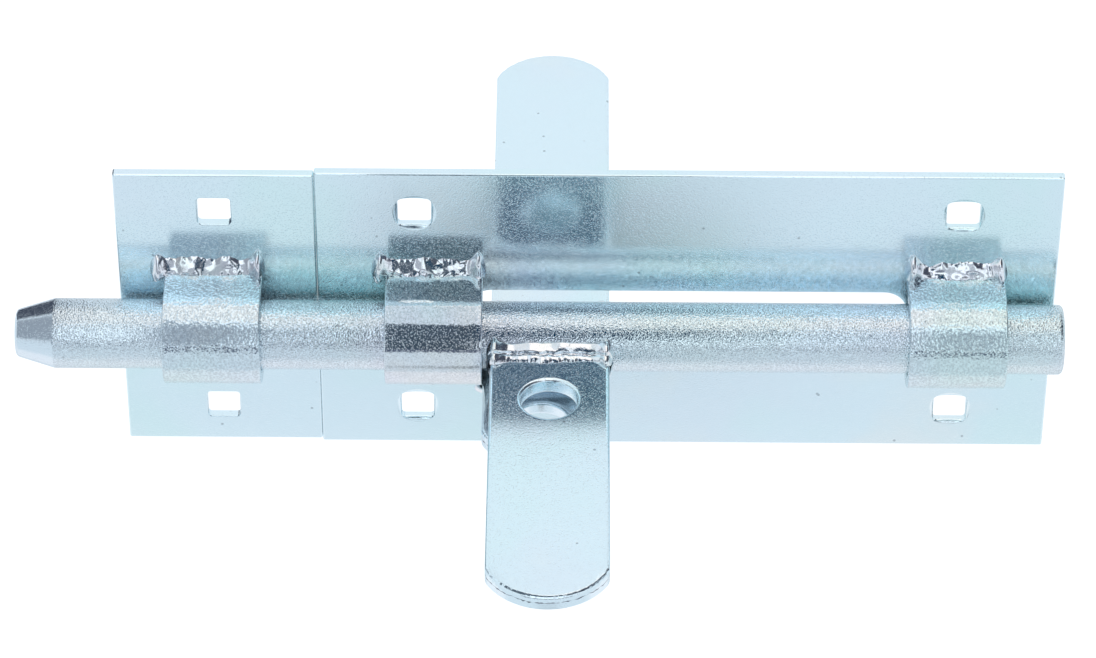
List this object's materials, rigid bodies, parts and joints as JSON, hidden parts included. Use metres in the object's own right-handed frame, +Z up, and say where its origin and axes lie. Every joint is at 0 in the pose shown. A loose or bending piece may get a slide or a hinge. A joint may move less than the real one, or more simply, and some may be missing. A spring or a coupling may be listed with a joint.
{
  "type": "slide bolt",
  "caption": "Zinc-plated slide bolt for a gate or stable door: a round bolt in strap hoops, with flat handles on both faces, a padlock lug and a separate keep plate.",
  "frame": {"origin": "middle of the main plate's four fixing holes, on the plate's back face", "axes": "+X along the bolt towards its open end, +Z up, the front of the plates faces -Y and their backs lie on Y = 0"},
  "size_m": [0.2688, 0.218, 0.09],
  "materials": {
    "plate_zinc": "bright blue-passivated zinc plating on sheet steel",
    "strap_zinc": "bright zinc plating on bent strap, streaked and speckled",
    "bolt_zinc": "bright zinc plating on round bar, finely speckled, with turned rings on the nose",
    "bar_zinc": "bright blue-passivated zinc plating on flat bar with blanked edges",
    "weld_metal": "lumpy weld beads under bright zinc plating"
  },
  "bodies": {
    "main": {"main_plate": "plate_zinc", "front_hoop": "strap_zinc", "rear_hoop": "strap_zinc", "padlock_lug": "bar_zinc", "front_hoop_upper_weld": "weld_metal", "front_hoop_lower_weld": "weld_metal", "rear_hoop_upper_weld": "weld_metal", "rear_hoop_lower_weld": "weld_metal", "lug_lower_weld": "weld_metal", "lug_hoop_weld": "weld_metal"},
    "bolt": {"bolt_rod": "bolt_zinc", "front_handle": "bar_zinc", "rear_handle": "bar_zinc", "front_handle_upper_weld": "weld_metal", "front_handle_lower_weld": "weld_metal", "rear_handle_upper_weld": "weld_metal", "rear_handle_lower_weld": "weld_metal"},
    "keep": {"keep_plate": "plate_zinc", "keep_hoop": "strap_zinc", "keep_hoop_upper_weld": "weld_metal", "keep_hoop_lower_weld": "weld_metal"}
  },
  "joints": [
    {"name": "bolt_slide", "type": "slide", "parent": "main", "child": "bolt", "axis": [1, 0, 0], "range_m": [-0.0005, 0.0745]},
    {"name": "keep_draw_off", "type": "slide", "parent": "main", "child": "keep", "axis": [-1, 0, 0], "range_m": [0, 0.09]}
  ]
}
